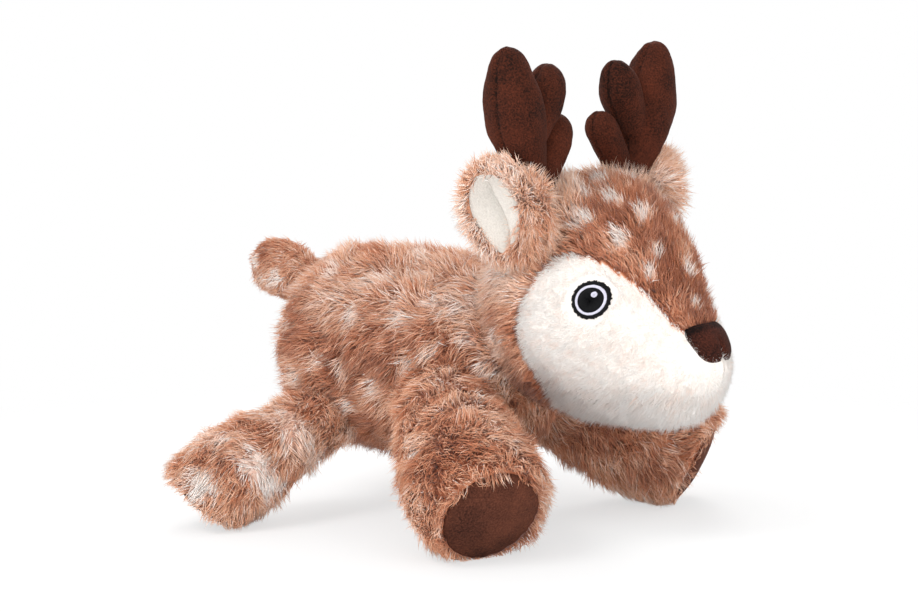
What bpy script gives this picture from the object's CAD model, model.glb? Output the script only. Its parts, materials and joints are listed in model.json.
import json
import math
from typing import NamedTuple

import bpy
import numpy as np
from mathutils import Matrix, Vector
from mathutils.bvhtree import BVHTree


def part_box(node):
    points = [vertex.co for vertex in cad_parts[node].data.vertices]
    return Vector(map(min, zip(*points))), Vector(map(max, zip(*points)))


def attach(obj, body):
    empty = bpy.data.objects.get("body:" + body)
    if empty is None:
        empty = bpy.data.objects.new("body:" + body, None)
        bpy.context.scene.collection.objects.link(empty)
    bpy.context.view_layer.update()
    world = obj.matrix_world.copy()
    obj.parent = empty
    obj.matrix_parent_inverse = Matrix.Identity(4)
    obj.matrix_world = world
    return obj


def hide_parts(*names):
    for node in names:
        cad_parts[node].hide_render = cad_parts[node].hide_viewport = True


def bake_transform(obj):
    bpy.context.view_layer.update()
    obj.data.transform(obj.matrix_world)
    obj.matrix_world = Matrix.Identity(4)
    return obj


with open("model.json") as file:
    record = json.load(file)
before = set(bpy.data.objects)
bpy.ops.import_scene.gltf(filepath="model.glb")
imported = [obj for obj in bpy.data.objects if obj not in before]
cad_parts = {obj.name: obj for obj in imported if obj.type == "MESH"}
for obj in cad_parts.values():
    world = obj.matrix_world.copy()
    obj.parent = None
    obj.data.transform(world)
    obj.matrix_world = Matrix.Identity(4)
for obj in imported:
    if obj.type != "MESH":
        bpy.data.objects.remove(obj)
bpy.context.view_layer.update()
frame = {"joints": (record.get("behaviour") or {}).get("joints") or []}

rng = np.random.default_rng(7)

# Sizes of the sewn forms, in metres, as the deer is cut and stuffed
TORSO_BACK_SHIFT = 0.0125
TORSO_LENGTH = 0.150
TORSO_WIDTH = 0.100
TORSO_BACK_RISE = 0.050
TORSO_BELLY_DROP = 0.048
TORSO_HEIGHT = 0.079
HEAD_FORWARD = 0.092
HEAD_HEIGHT = 0.114
HEAD_BACK_REACH = 0.057
HEAD_FRONT_REACH = 0.071
HEAD_WIDTH = 0.106
HEAD_CROWN_RISE = 0.057
HEAD_JAW_DROP = 0.055
NOSE_WIDTH = 0.028
NOSE_HEIGHT = 0.021
NOSE_BULGE = 0.0065
NOSE_PITCH = math.radians(33)
NOSE_SET_BACK = 0.0012
EYE_FORWARD = 0.024
EYE_RISE = 0.005
EAR_WIDTH = 0.040
EAR_HEIGHT = 0.048
EAR_DISH = 0.0035
EAR_FORWARD = -0.016
EAR_RISE = 0.0435
EAR_SPREAD = HEAD_WIDTH * 0.5300
EAR_TURN = math.radians(5)
EAR_LEAN = math.radians(17)
LINING_WIDTH = 0.027
LINING_HEIGHT = 0.040
LINING_SET_BACK = 0.0045
ANTLER_ROOT_DEPTH = 0.010
BEAM_RADIUS = 0.0145
BEAM_RISE = 0.0785
BEAM_SPLAY = 0.0294
BEAM_LEAN_BACK = 0.0005
MIDDLE_TINE_RADIUS = 0.0106
MIDDLE_TINE_RISE = 0.0698
MIDDLE_TINE_INSET = 0.0068
MIDDLE_TINE_LEAN_BACK = 0.0012
BROW_TINE_RADIUS = 0.0085
BROW_TINE_RISE = 0.0448
BROW_TINE_INSET = 0.0192
BROW_TINE_LEAN_BACK = 0.0036
FORELEG_RADIUS = 0.0315
FOREFOOT_FORWARD = 0.0915
FOREFOOT_SPREAD = 0.087
FOREPAD_RADIUS = 0.0225
FORELEG_BEND = 0.040
FORELEG_AIM = math.radians(27)
FORELEG_DIP = math.radians(26)
HINDLEG_RADIUS = 0.0255
HINDFOOT_BACK = 0.070
HINDFOOT_SPREAD = 0.103
HINDPAD_RADIUS = 0.0175
HINDLEG_BEND = 0.028
HINDLEG_AIM = math.radians(143)
HINDLEG_DIP = math.radians(48)
FOOT_FLAT = 0.0015
PLUSH_WALL = 0.005
SEAM_GAP = 0.0003
TAIL_RADIUS = 0.0145
TAIL_LENGTH = 0.046
TAIL_HEIGHT = 0.106
TAIL_LIFT = math.radians(19)

# Rings along each form: how far along its spine a ring lies, its half width, its height above
# and its depth below the spine as shares of the form's own, and its lift as a share of the
# spine's length. A round form has only the place along and the share of its radius
TORSO_SHARES = (
    (0, 0, 0, 0, 0),
    (0.022, 0.50, 0.50, 0.50, 0),
    (0.080, 0.79, 0.80, 0.80, 0),
    (0.180, 0.95, 0.96, 0.96, 0),
    (0.330, 1, 1, 1, 0),
    (0.520, 1, 0.99, 1, 0),
    (0.700, 0.96, 0.96, 0.97, 0),
    (0.850, 0.84, 0.86, 0.90, 0),
    (0.950, 0.60, 0.60, 0.68, 0),
    (1, 0, 0, 0, 0),
)
HEAD_SHARES = (
    (0, 0, 0, 0, -0.016),
    (0.020, 0.31, 0.33, 0.31, -0.014),
    (0.065, 0.53, 0.56, 0.54, -0.010),
    (0.170, 0.77, 0.83, 0.79, -0.004),
    (0.316, 0.94, 0.98, 0.94, 0),
    (0.463, 1, 1, 1, 0),
    (0.610, 0.91, 0.90, 0.94, -0.031),
    (0.720, 0.76, 0.70, 0.83, -0.078),
    (0.816, 0.61, 0.46, 0.66, -0.141),
    (0.890, 0.47, 0.33, 0.48, -0.187),
    (0.948, 0.33, 0.24, 0.31, -0.210),
    (0.985, 0.18, 0.14, 0.17, -0.218),
    (1, 0, 0, 0, -0.219),
)
LEG_SHARES = ((0, 0.74), (0.22, 0.80), (0.44, 0.90), (0.64, 0.98), (0.80, 1), (0.92, 0.95))
TAIL_SHARES = ((0, 0.66), (0.26, 0.80), (0.52, 0.97), (0.74, 1), (0.92, 0.70), (1, 0))
BEAM_SHARES = (
    (0, 0.42),
    (0.14, 0.49),
    (0.30, 0.60),
    (0.45, 0.80),
    (0.60, 0.97),
    (0.72, 0.98),
    (0.87, 0.78),
    (0.95, 0.54),
    (0.985, 0.30),
    (1, 0),
)
TINE_TIP_SHARES = ((0.62, 1), (0.78, 0.98), (0.90, 0.76), (0.965, 0.48), (1, 0))
MIDDLE_SHARES = ((0, 0.50), (0.20, 0.66), (0.42, 0.86), *TINE_TIP_SHARES)
BROW_SHARES = ((0, 0.86), (0.20, 0.88), (0.42, 0.93), *TINE_TIP_SHARES)
# Where each tine starts, as shares of the beam's lean, splay and rise, and where it bends,
# as shares of its own lean, of the beam's splay or its own inset, and of its own rise
BEAM_ROOT_SHARE = 0.5
BEAM_BEND_SHARES = (0.5, 0.82, 0.38)
MIDDLE_ROOT_SHARES = (0.33, 0.55, 0.32)
MIDDLE_BEND_SHARES = (0.5, 0.15, 0.60)
BROW_ROOT_SHARES = (0, 0.06, 0.14)
BROW_BEND_SHARES = (0.5, -0.42, 0.62)
FORELEG_ROOT_SHARES = (0.48, 0.64, -0.34)
HINDLEG_ROOT_SHARES = (-0.46, 0.62, -0.56)
NOSE_CORE_SHARES = (-1.2, 0, -1.15)
# The seam round the face panel, as (x, z) shares of the head's length and of its crown's rise
FACE_EDGE_SHARES = (
    (-0.086, -0.193), (-0.070, -0.035), (-0.023, 0.170), (0.030, 0.320), (0.078, 0.415),
    (0.164, 0.455), (0.242, 0.400), (0.297, 0.310), (0.344, 0.195), (0.390, 0.045),
    (0.445, -0.120), (0.523, -0.280), (0.640, -0.420), (0.640, -1.120), (0.300, -1.160),
    (0.227, -0.940), (0.133, -0.810), (0.070, -0.700), (0.008, -0.560), (-0.050, -0.410),
)
# What a row of shares is multiplied by to stand for the row past a closed end
MIRRORED_END = np.array((1, -1, -1, -1, 1))
SIDES = (("right", -1), ("left", 1))
UP = np.array((0.0, 0.0, 1.0))
# What takes an X of the sizes, whose zero is a little ahead of the torso's middle, to the frame
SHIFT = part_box("torso_skin")[0].x + TORSO_LENGTH / 2 + TORSO_BACK_SHIFT

# Pale spots dyed into the pile: where each is, and how far it spreads, in millimetres
MILLIMETRE = 0.001
SPOT_SPREAD = 1.15
HEAD_SPOTS = (
    (80, -23, 162, 5), (91, -14, 160, 5), (87, -32, 152, 5), (101, -5, 153, 4.5),
    (102, -24, 145, 5), (101, 20, 148, 4.5), (112, -11, 137, 4), (114, -18, 129, 3.5),
    (117, 11, 128, 4.5), (127, 1, 114, 4), (103, 27, 140, 4.5), (86, 33, 153, 5),
    (79, -8, 168, 4.5), (79, 16, 165, 4.5), (64, -6, 170, 5), (47, 12, 169, 5),
    (36, -15, 164, 5), (30, 23, 154, 5), (24, -26, 144, 5), (20, 5, 145, 5),
    (33, -46, 117, 4.5), (33, 46, 119, 4.5), (60, -47, 133, 4.5), (60, 47, 134, 4.5),
    (45, -42, 101, 4.5), (45, 42, 102, 4.5),
)
TORSO_SPOTS = (
    (-57, -49, 80, 5.5), (-42, -49, 77, 5), (-76, -46, 66, 5.5), (-41, -44, 102, 5),
    (-4, -48, 83, 5.5), (8, -44, 89, 5), (-17, -38, 110, 5), (-13, -43, 101, 4.5),
    (-66, -29, 118, 5.5), (-86, -42, 92, 5), (-44, -43, 56, 5), (-23, -48, 69, 5),
    (3, -34, 111, 4.5), (23, -27, 110, 6), (14, -31, 111, 5), (33, -33, 80, 5),
    (24, -37, 95, 4.5), (-57, 49, 82, 5.5), (-35, 49, 73, 5), (-80, 44, 70, 5),
    (-44, 43, 103, 5), (-6, 48, 85, 5), (-19, 38, 109, 5), (12, 44, 90, 5), (-70, 29, 117, 5),
    (24, 28, 109, 6), (33, 33, 80, 5), (-55, 4, 129, 5), (-25, -11, 129, 5), (-5, 12, 127, 5),
    (-82, 13, 112, 5), (-101, -22, 90, 5), (-102, 20, 78, 5), (-100, -10, 60, 5),
)
HINDLEG_SPOTS = (
    (-57, -97, 34, 8), (-58, -90, 24, 6), (-75, -120, 27, 8), (-66, -91, 51, 5),
    (-94, -109, 44, 6), (-77, -102, 49, 4.5), (-101, -108, 34, 5), (-56, -80, 21, 4.5),
    (-50, -63, 45, 4.5), (-96, -80, 33, 5.5), (-90, -72, 48, 5),
)
FORELEG_SPOTS = (
    (42, -56, 72, 4.5), (62, -48, 50, 4.5), (13, -64, 45, 5), (36, -90, 48, 4),
)
TAIL_SPOTS = (
    (-135, -10, 122, 4), (-125, 8, 128, 4), (-118, -13, 112, 4),
)


# Whole-array helpers


def unit(vectors):
    return vectors / np.maximum(np.linalg.norm(vectors, axis=-1, keepdims=True), 1e-12)


def smooth_step(low, high, value):
    t = np.clip((value - low) / (high - low), 0, 1)
    return t * t * (3 - 2 * t)


def turns(sides):
    """Angles round a ring, each in the middle of its step."""
    return (np.arange(sides) + 0.5) / sides * 2 * np.pi


# How many sines a mottle sums, and what brings their highest peaks near 1
MOTTLE_WAVES = 10
MOTTLE_PEAK = 1.6


def mottle(points, size, seed):
    """A soft random field from about -1 to 1: the mean of sines that run in random
    directions, each with a wavelength near size. Each pattern has a seed of its own."""
    own = np.random.default_rng(seed)
    way = unit(own.normal(size=(MOTTLE_WAVES, 3)))
    wavelength = size * own.uniform(0.7, 1.5, (MOTTLE_WAVES, 1))
    phase = own.uniform(0, 2 * np.pi, MOTTLE_WAVES)
    waves = np.sin(points @ (way * 2 * np.pi / wavelength).T + phase)
    return waves.sum(-1) / math.sqrt(MOTTLE_WAVES / 2) / MOTTLE_PEAK


def swirl(points, size, seed, normal, along):
    """A soft random lean, across the way along, for the pile at points."""
    return mottle(points, size, seed)[:, None] * np.cross(normal, along)


def inside_outline(points, outline):
    """Whether each point, seen from the side, is inside a closed outline of (x, z), by
    counting the edges that a line to one side of it crosses."""
    x, z = points[..., :1], points[..., 2:]
    x0, z0 = outline[:, 0], outline[:, 1]
    x1, z1 = np.roll(x0, -1), np.roll(z0, -1)
    spans = (z0 > z) != (z1 > z)
    meets = x0 + (z - z0) / np.where(z1 == z0, 1, z1 - z0) * (x1 - x0)
    return (spans & (x < meets)).sum(-1) % 2 == 1


def outline_distance(points, outline):
    """How far each point, seen from the side, is from the nearest edge of an outline."""
    run = np.roll(outline, -1, 0) - outline
    points = points[..., None, ::2]
    share = ((points - outline) * run).sum(-1) / (run**2).sum(-1)
    nearest = outline + np.clip(share, 0, 1)[..., None] * run
    return np.linalg.norm(points - nearest, axis=-1).min(-1)


def joint_place(name):
    joint = next(joint for joint in frame["joints"] if joint["name"] == name)
    return np.array(joint["pos_m"])


# The sewn forms


# A half width under this is nothing, and no other is drawn in past this radius
NOTHING = 1e-9
SMALLEST_RADIUS = 1e-5


def smooth_rows(rows, steps, closed_start, closed_end):
    """Rows of shares read on a smooth curve through them (Catmull-Rom). Past a closed end
    the rows are mirrored, so that the form rounds off there."""
    rows = np.array(rows, float)
    before = rows[1] * MIRRORED_END if closed_start else 2 * rows[0] - rows[1]
    after = rows[-2] * MIRRORED_END if closed_end else 2 * rows[-1] - rows[-2]
    rows = np.vstack((before, rows, after))
    at = np.linspace(0, len(rows) - 3, (len(rows) - 3) * steps + 1)
    first = np.minimum(at.astype(int), len(rows) - 4)
    t = (at - first)[:, None]
    a, b, c, d = (rows[first + step] for step in range(4))
    return (
        2 * b
        + (c - a) * t
        + (2 * a - 5 * b + 4 * c - d) * t**2
        + (3 * b - a - 3 * c + d) * t**3
    ) / 2


def round_rows(rows):
    return [(along, radius, radius, radius, 0) for along, radius in rows]


class Form:
    """A stuffed form: ellipses set square to a spine, on a curve bent by one middle point."""

    def __init__(self, spine, rows, sizes, closed=(True, True), up=(0, 0, 1)):
        self.spine = np.array(spine, float)
        self.rows = rows
        self.sizes = np.array(sizes)
        self.closed = closed
        self.up = np.array(up, float)
        self.pace = 2 * np.linalg.norm(np.diff(self.spine, axis=0), axis=1)

    def rings(self, steps, sides, grow=0.0):
        """Rings of points: the centre moves on the spine's curve (a quadratic Bezier), and
        each ring is centre + side * w * cos(a) + rise * h * sin(a). The form is grown by
        grow all round, and at its closed ends."""
        rows = smooth_rows(self.rows, steps, *self.closed)
        along = rows[:, 0].copy()
        if self.closed[0]:
            along -= grow / self.pace[0] * (1 - np.clip(2 * rows[:, 0], 0, 1))
        if self.closed[1]:
            along += grow / self.pace[1] * np.clip(2 * rows[:, 0] - 1, 0, 1)
        start, bend, end = self.spine
        t = along[:, None]
        centre = (1 - t) ** 2 * start + 2 * t * (1 - t) * bend + t**2 * end
        tangent = unit(2 * (1 - t) * (bend - start) + 2 * t * (end - bend))
        side = unit(np.cross(self.up, tangent))
        rise = np.cross(tangent, side)
        half = rows[:, 1:4] * self.sizes
        half = np.where(half > NOTHING, np.maximum(half + grow, SMALLEST_RADIUS), 0)
        centre = centre + rise * (rows[:, 4] * self.pace.mean())[:, None]
        angle = turns(sides)
        tall = np.where(np.sin(angle) >= 0, half[:, 1:2], half[:, 2:3])
        across = (half[:, :1] * np.cos(angle))[..., None]
        upward = (tall * np.sin(angle))[..., None]
        rings = centre[:, None] + side[:, None] * across + rise[:, None] * upward
        return rings + (SHIFT, 0, 0)


def straight(start, end):
    return start, (np.array(start) + np.array(end)) / 2, end


def in_torso(ahead, beside, above):
    x = ahead * TORSO_LENGTH / 2 - TORSO_BACK_SHIFT
    height = TORSO_BACK_RISE if above > 0 else TORSO_BELLY_DROP
    return np.array((x, beside * TORSO_WIDTH / 2, TORSO_HEIGHT + above * height))


def on_head(ahead, above, side=0.0):
    return np.array((HEAD_FORWARD + ahead, side, HEAD_HEIGHT + above))


torso_form = Form(
    straight(in_torso(-1, 0, 0), in_torso(1, 0, 0)),
    TORSO_SHARES,
    (TORSO_WIDTH / 2, TORSO_BACK_RISE, TORSO_BELLY_DROP),
)
head_form = Form(
    straight(on_head(-HEAD_BACK_REACH, 0), on_head(HEAD_FRONT_REACH, 0)),
    HEAD_SHARES,
    (HEAD_WIDTH / 2, HEAD_CROWN_RISE, HEAD_JAW_DROP),
)
HEAD_MIDDLE = on_head(0, 0) + (SHIFT, 0, 0)


def leg_form(root_shares, foot, aim, dip, bend, radius, pad_radius, side):
    """A leg that starts inside the torso and stands on the floor, and the way it faces."""
    ahead, beside, above = root_shares
    start = in_torso(ahead, side * beside, above)
    facing = np.array((math.cos(aim), side * math.sin(aim), 0)) * math.cos(dip)
    facing = facing - UP * math.sin(dip)
    end = np.array((foot[0], side * foot[1], radius))
    rows = round_rows((*LEG_SHARES, (1, (pad_radius + SEAM_GAP + PLUSH_WALL) / radius)))

    def ending(end):
        return Form((start, end - facing * bend, end), rows, (radius,) * 3, (False, False))

    form = ending(end)
    # Its foot is let down to the floor and pressed a little flat, in three steps
    for _ in range(3):
        end = end - (0, 0, form.rings(1, 16)[:, :, 2].min() + FOOT_FLAT)
        form = ending(end)
    return form, facing


def tail_form():
    lift = np.array((-math.cos(TAIL_LIFT), 0, math.sin(TAIL_LIFT)))
    place = np.array((joint_place("tail_seam")[0] - SHIFT, 0, TAIL_HEIGHT))
    spine = straight(place - lift * TAIL_RADIUS, place + lift * TAIL_LENGTH)
    return Form(spine, round_rows(TAIL_SHARES), (TAIL_RADIUS,) * 3, (False, True))


def covered(form, points, grow):
    """Whether points are inside a form with a straight spine along X, grown by grow."""
    rows = smooth_rows(form.rows, 12, True, True)
    start, length = form.spine[0], form.spine[2, 0] - form.spine[0, 0]
    x = start[0] + SHIFT + rows[:, 0] * length
    at = points[..., 0]
    half, tall, deep = (
        np.interp(at, x, rows[:, 1 + k] * form.sizes[k], left=-1, right=-1) + grow
        for k in range(3)
    )
    z = points[..., 2] - start[2] - np.interp(at, x, rows[:, 4]) * form.pace.mean()
    high = np.where(z > 0, tall, deep)
    good = (half > 1e-4) & (high > 1e-4)
    inside = (points[..., 1] / np.where(good, half, 1)) ** 2 + (z / np.where(good, high, 1)) ** 2
    return good & (inside < 1)


# Meshes


def make_mesh(name, points, groups, finish, shared=None, uv=None):
    """An object of arrays: groups are arrays of faces, shared names one value a point,
    and uv holds one pair a corner, in the order of the groups."""
    mesh = bpy.data.meshes.new(name)
    groups = [np.asarray(group, np.int32) for group in groups if len(group)]
    corners = np.concatenate([group.reshape(-1) for group in groups])
    sizes = np.concatenate([np.full(len(group), group.shape[1]) for group in groups])
    mesh.vertices.add(len(points))
    mesh.vertices.foreach_set("co", np.asarray(points, np.float32).reshape(-1))
    mesh.loops.add(len(corners))
    mesh.loops.foreach_set("vertex_index", corners)
    mesh.polygons.add(len(sizes))
    starts = np.concatenate(([0], np.cumsum(sizes)[:-1]))
    mesh.polygons.foreach_set("loop_start", starts.astype(np.int32))
    mesh.update(calc_edges=True)
    for key, values in (shared or {}).items():
        add_attribute(mesh, key, values)
    if uv is not None:
        layer = mesh.uv_layers.new(name="OFBake")
        layer.data.foreach_set("uv", np.asarray(uv, np.float32).reshape(-1))
    mesh.shade_smooth()
    mesh.materials.append(finish)
    made = bpy.data.objects.new(name, mesh)
    bpy.context.scene.collection.objects.link(made)
    return made


def add_attribute(mesh, name, values):
    attribute = mesh.attributes.new(name, "FLOAT", "POINT")
    attribute.data.foreach_set("value", np.asarray(values, np.float32).reshape(-1))


def ring_faces(count, sides):
    """Quads between rings of points that follow each other."""
    ring, at = np.meshgrid(np.arange(count - 1), np.arange(sides), indexing="ij")
    here, beyond = ring * sides + at, ring * sides + (at + 1) % sides
    return np.stack((here, beyond, beyond + sides, here + sides), -1).reshape(-1, 4)


def cap_faces(first, sides, tip, flip):
    """Triangles from the ring that starts at the point first to a tip."""
    at = np.arange(sides)
    fan = np.stack((first + at, first + (at + 1) % sides, np.full(sides, tip)), -1)
    return fan[:, ::-1] if flip else fan


def facing_way(faces, points, way):
    """The faces, turned round if they face away from way on the whole."""
    base = points[faces[:, 0]]
    normals = np.cross(points[faces[:, 1]] - base, points[faces[:, -1]] - base)
    return faces[:, ::-1] if (normals * way).sum() < 0 else faces


def closed_form(name, rings, finish, shared=None):
    """A closed skin through the rings, with a point at the middle of its first and last.
    For each name, shared has the function that gives the value at points."""
    count, sides = rings.shape[:2]
    points = np.vstack((rings.reshape(-1, 3), rings[0].mean(0), rings[-1].mean(0)))
    ring, beyond = rings[count // 2], rings[count // 2 + 1]
    normal = np.cross(ring[1] - ring[0], beyond[0] - ring[0])
    flip = normal @ (ring[0] - ring.mean(0)) < 0
    quads = ring_faces(count, sides)
    quads = quads[:, ::-1] if flip else quads
    first_cap = cap_faces(0, sides, count * sides, not flip)
    last_cap = cap_faces((count - 1) * sides, sides, count * sides + 1, flip)
    values = {key: value(points) for key, value in (shared or {}).items()}
    return make_mesh(name, points, (quads, np.vstack((first_cap, last_cap))), finish, values)


# Fur


class Hide:
    """The surface that a pile grows from: rings of points, with the normal, the area and
    the way along the form at the middle of each quad."""

    def __init__(self, rings):
        a, d = rings[:-1], rings[1:]
        b, c = np.roll(a, -1, 1), np.roll(d, -1, 1)
        self.corners = np.stack((a, b, c, d), 2).reshape(-1, 4, 3)
        self.middle = self.corners.mean(1)
        a, b, c, d = (self.corners[:, at] for at in range(4))
        along = c + d - a - b
        square = np.cross(b + c - a - d, along) / 4
        self.area = np.linalg.norm(square, axis=1)
        self.normal = unit(square)
        outwards = self.middle - rings.mean((0, 1))
        if (outwards * self.normal).sum() < 0:
            self.normal = -self.normal
        self.along = unit(along)

    def roots(self, count, weight):
        """Random roots, as many to an area as weight asks for there."""
        share = self.area * weight(self.middle, self.normal)
        share = share / share.sum()
        quad = np.sort(rng.choice(len(share), count, p=share))
        u, v = rng.random((2, count, 1))
        a, b, c, d = (self.corners[quad, at] for at in range(4))
        root = (a * (1 - u) + b * u) * (1 - v) + (d * (1 - u) + c * u) * v
        return root, self.normal[quad], self.along[quad]


def in_parts(roots, parts):
    """Roots, normals and ways along, sorted from back to front and shared out in parts."""
    order = np.argsort(roots[0][:, 0])
    return [[values[chosen] for values in roots] for chosen in np.array_split(order, parts)]


# The points of a strand: three round its root, three round its bend, and its tip, with their
# heights, the triangles and the quads. A short strand leaves out the bend
LONG_STRAND = (
    np.array((0, 0, 0, 0.5, 0.5, 0.5, 1.0)),
    np.array(((2, 1, 0), (3, 4, 6), (4, 5, 6), (5, 3, 6))),
    np.array(((0, 1, 4, 3), (1, 2, 5, 4), (2, 0, 3, 5))),
)
SHORT_STRAND = (
    np.array((0, 0, 0, 1.0)),
    np.array(((2, 1, 0), (0, 1, 3), (1, 2, 3), (2, 0, 3))),
    np.empty((0, 4), int),
)


class Fleece(NamedTuple):
    """How a pile lies: the size of its tufts, how far they draw together, how far each
    tuft and each strand strays, how much its strands differ in dye, the share of frosted
    strands, and the strands' width and kind."""

    tuft: float
    gather: float
    stray: float
    loose: float = 0.16
    vary: float = 0.07
    frost: float = 0.12
    width: float = 0.0005
    strand: tuple = LONG_STRAND


SHAGGY = Fleece(
    tuft=0.0085, gather=0.55, stray=0.30, loose=0.14, vary=0.09, frost=0.17, width=0.00048
)
COMBED = Fleece(tuft=0.0050, gather=0.45, stray=0.16, frost=0.10)
WISPY = Fleece(tuft=0.0060, gather=0.35, stray=0.24, loose=0.22, vary=0.08, frost=0.22)
SMOOTH = Fleece(
    tuft=0.0030,
    gather=0.2,
    stray=0.10,
    loose=0.10,
    vary=0.015,
    frost=0,
    width=0.00042,
    strand=SHORT_STRAND,
)

# Tufts are the cells of a grid that is turned out of line with the axes, and each has a
# tone of its own
TUFT_GRID = np.array(((0.8, 0.6, 0), (-0.48, 0.64, 0.6), (0.36, -0.48, 0.8)))
TUFT_TONES = 0.04
# Where on a strand its bend is, how thick it is there, and how far the tuft pulls it
BEND_AT = 0.45
BEND_THICKNESS = 0.72
BEND_PULL = 0.35
# How deep a strand's root is sunk, how far its tip stays above the hide, and how far its tip
# and its bend stay above the floor
ROOT_DEPTH = 0.0006
TIP_ABOVE_HIDE = 0.0012
TIP_ABOVE_FLOOR = 0.0006
BEND_ABOVE_FLOOR = 0.0008


def fur(name, surface, comb, length, stand, coat, fleece):
    """Strands of pile: each is a closed spike of two lengths. It leaves its root near the
    normal, bends over towards comb, and its tip is drawn to the middle of its tuft."""
    root, normal = surface
    count = len(root)
    comb = unit(comb - (comb * normal).sum(-1, keepdims=True) * normal)
    loose = rng.normal(size=(count, 3)) * fleece.loose
    lift = np.asarray(stand).reshape(-1, 1)
    jitter = root + rng.normal(size=(count, 3)) * fleece.tuft * 0.20
    jitter = jitter + 0.45 * fleece.tuft * mottle(root, fleece.tuft * 3.5, 71)[:, None]
    cells = np.floor(jitter @ TUFT_GRID / fleece.tuft)
    tuft = np.unique(cells, axis=0, return_inverse=True)[1].reshape(-1)
    members = np.bincount(tuft)[:, None]

    def tuft_mean(points):
        """The mean of the points of each tuft, given to each of its strands."""
        sums = [np.bincount(tuft, points[:, axis]) for axis in range(3)]
        return (np.stack(sums, -1) / members)[tuft]

    stray = rng.normal(size=(len(members), 3))[tuft] * fleece.stray
    first = unit(normal * (0.35 + lift) + comb * (1 - lift) + loose + stray * 0.5)
    second = unit(normal * lift * 0.75 + comb * (1.15 - lift) + loose * 1.5 + stray)
    length = np.asarray(length).reshape(-1, 1) * rng.uniform(0.70, 1.2, (count, 1))
    bend = root + first * length * BEND_AT
    tip = bend + second * length * (1 - BEND_AT)
    pull = fleece.gather * rng.uniform(0.3, 1.0, (count, 1))
    tip = tip + (tuft_mean(tip) - tip) * pull
    bend = bend + (tuft_mean(bend) - bend) * pull * BEND_PULL
    # No strand dips into the hide that it grows from, or below the floor
    above = ((tip - root) * normal).sum(-1, keepdims=True)
    tip = tip - np.minimum(above - TIP_ABOVE_HIDE, 0) * normal
    tip[:, 2] = np.maximum(tip[:, 2], TIP_ABOVE_FLOOR)
    bend[:, 2] = np.maximum(bend[:, 2], BEND_ABOVE_FLOOR)
    base = root - normal * ROOT_DEPTH
    way = unit(tip - base)
    side = unit(np.cross(way, normal + loose))
    other = np.cross(way, side)
    turn = np.arange(3) / 3 * 2 * np.pi
    around = side[:, None] * np.cos(turn)[:, None] + other[:, None] * np.sin(turn)[:, None]
    thick = fleece.width * rng.uniform(0.7, 1.3, (count, 1, 1)) / 2
    heights, triangles, quads = fleece.strand
    points = [base[:, None] + around * thick, tip[:, None]]
    if len(quads):
        points.insert(1, bend[:, None] + around * thick * BEND_THICKNESS)
    points = np.concatenate(points, 1)
    first_point = (np.arange(count) * len(heights))[:, None, None]
    groups = (triangles + first_point).reshape(-1, 3), (quads + first_point).reshape(-1, 4)
    frost = np.where(rng.random(count) < fleece.frost, rng.uniform(0.12, 0.36, count), 0)
    tuft_tone = rng.normal(size=len(members)) * TUFT_TONES
    coat = coat + tuft_tone[tuft] + rng.normal(size=count) * fleece.vary + frost
    corner_coat = np.clip(coat, 0.01, 0.99)[:, None] + np.zeros((1, len(heights)))
    corner_height = heights + np.zeros((count, 1))
    # On the bake's map, a strand runs up the column of its coat, a hair wide at its root
    nudge = np.resize((-0.004, 0, 0.004), len(heights)) * (heights < 1)
    uv = np.stack((corner_coat + nudge, 0.03 + 0.94 * corner_height), -1).reshape(-1, 2)
    uv = uv[np.concatenate([group.reshape(-1) for group in groups])]
    # The root's cap has no height, so it gets a little
    uv[: len(groups[0]) * 3].reshape(count, 4, 3, 2)[:, 0, 1, 1] += 0.01
    shared = {"coat": corner_coat, "height": corner_height}
    made = make_mesh(name, points.reshape(-1, 3), groups, pile, shared, uv)
    return made


# Materials


class Wire:
    """A value that varies over a surface, so that its maths reads as maths."""

    def __init__(self, nodes, socket):
        self.nodes = nodes
        self.socket = socket

    def _with(self, operation, first, second):
        return self.nodes.node("ShaderNodeMath", {"operation": operation}, {0: first, 1: second})

    def __add__(self, other):
        return self._with("ADD", self, other)

    def __sub__(self, other):
        return self._with("SUBTRACT", self, other)

    def __mul__(self, other):
        return self._with("MULTIPLY", self, other)

    def __pow__(self, other):
        return self._with("POWER", self, other)


class Nodes:
    """A node tree, which is asked for a node by its type, its settings and its sockets."""

    def __init__(self, tree):
        self.tree = tree

    def node(self, kind, settings=None, sockets=None, output=0):
        made = self.tree.nodes.new(kind)
        for key, value in (settings or {}).items():
            if key == "stops":
                ramp = made.color_ramp
                while len(ramp.elements) < len(value):
                    ramp.elements.new(1)
                for element, (place, shade) in zip(ramp.elements, value):
                    element.position = place
                    element.color = shade
            else:
                setattr(made, key, value)
        for key, value in (sockets or {}).items():
            if isinstance(value, Wire):
                self.tree.links.new(value.socket, made.inputs[key])
            else:
                made.inputs[key].default_value = value
        return Wire(self, made.outputs[output])

    def end_in(self, output, wire):
        self.tree.links.new(wire.socket, self.tree.nodes[output].inputs["Surface"])


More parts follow.
